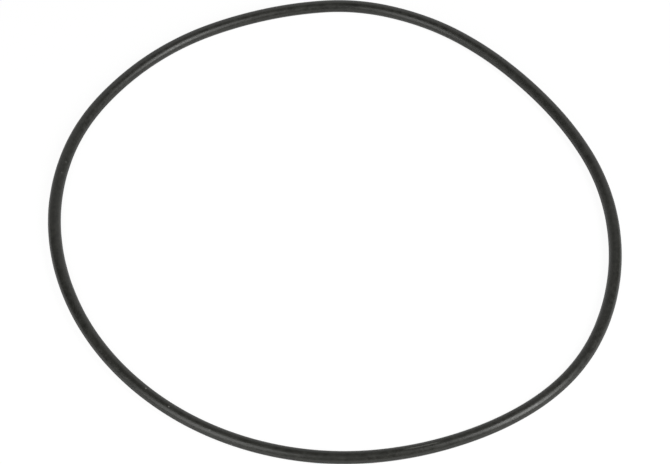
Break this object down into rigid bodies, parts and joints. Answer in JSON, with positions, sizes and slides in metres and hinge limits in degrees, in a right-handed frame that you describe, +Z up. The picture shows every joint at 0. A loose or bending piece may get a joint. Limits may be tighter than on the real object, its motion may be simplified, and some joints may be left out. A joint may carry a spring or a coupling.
{
  "type": "rubber o-ring",
  "caption": "Round-section rubber sealing ring lying slack in a soft loop, moulded in one piece; it seats in a groove and seals between two faces or round a gland.",
  "frame": {"origin": "on the surface that the ring lies on, below the middle of the loop's outline", "axes": "+Z up, along the axis of the groove that the ring seats in; the loop lies in XY, and -Y is the side nearest the viewer in the picture"},
  "size_m": [0.1604, 0.1599, 0.0035],
  "materials": {
    "rubber": "satin"
  },
  "bodies": {
    "root": {"o_ring": "rubber"}
  },
  "joints": []
}
